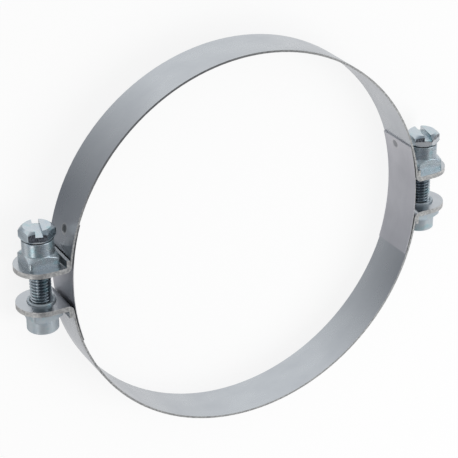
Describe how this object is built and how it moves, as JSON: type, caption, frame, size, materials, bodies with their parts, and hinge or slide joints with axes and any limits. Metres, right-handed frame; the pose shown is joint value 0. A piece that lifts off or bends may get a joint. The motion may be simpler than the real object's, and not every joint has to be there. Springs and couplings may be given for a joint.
{
  "type": "double bolt hose clamp",
  "caption": "Heavy two-part hose clamp: half hoops of steel strip with outward lugs, drawn together by bolts through collared spacers and collar nuts, with tongues bridging the gaps.",
  "frame": {"origin": "on the axis of the hose, at the lower edge of the band", "axes": "+Z along the axis of the hose, square to the face the clamp lies on; +X through both joints, from the left bolt to the right one; +Y along the bolts, from the nuts towards the heads"},
  "size_m": [0.1854, 0.1516, 0.019],
  "materials": {
    "band_steel": "satin galvanised strip",
    "bright_zinc": "bright bluish zinc plating"
  },
  "bodies": {
    "lower_half": {"lower_band": "band_steel", "lower_right_angle": "band_steel", "lower_left_angle": "band_steel", "left_nut": "bright_zinc", "right_nut": "bright_zinc"},
    "upper_half": {"upper_band": "band_steel", "upper_right_angle": "band_steel", "upper_left_angle": "band_steel", "upper_right_tongue": "band_steel", "upper_left_tongue": "band_steel", "left_spacer": "bright_zinc", "right_spacer": "bright_zinc"},
    "left_screw": {"left_bolt": "bright_zinc"},
    "right_screw": {"right_bolt": "bright_zinc"}
  },
  "joints": [
    {"name": "halves_slide", "type": "slide", "parent": "lower_half", "child": "upper_half", "axis": [0, 1, 0], "range_m": [-0.0126, 0.008], "deforming": ["upper_right_tongue", "upper_left_tongue"]},
    {"name": "left_bolt_turn", "type": "hinge", "parent": "upper_half", "child": "left_screw", "pos_m": [-0.08323, 0, 0.0095], "axis": [0, 1, 0], "range_deg": [-3630, 2305]},
    {"name": "right_bolt_turn", "type": "hinge", "parent": "upper_half", "child": "right_screw", "pos_m": [0.08323, 0, 0.0095], "axis": [0, 1, 0], "range_deg": [-3630, 2305]}
  ],
  "couplings": [
    {"joint": "left_bolt_turn", "follows": "halves_slide", "rad_per_m": 5026.5},
    {"joint": "right_bolt_turn", "follows": "halves_slide", "rad_per_m": 5026.5}
  ]
}
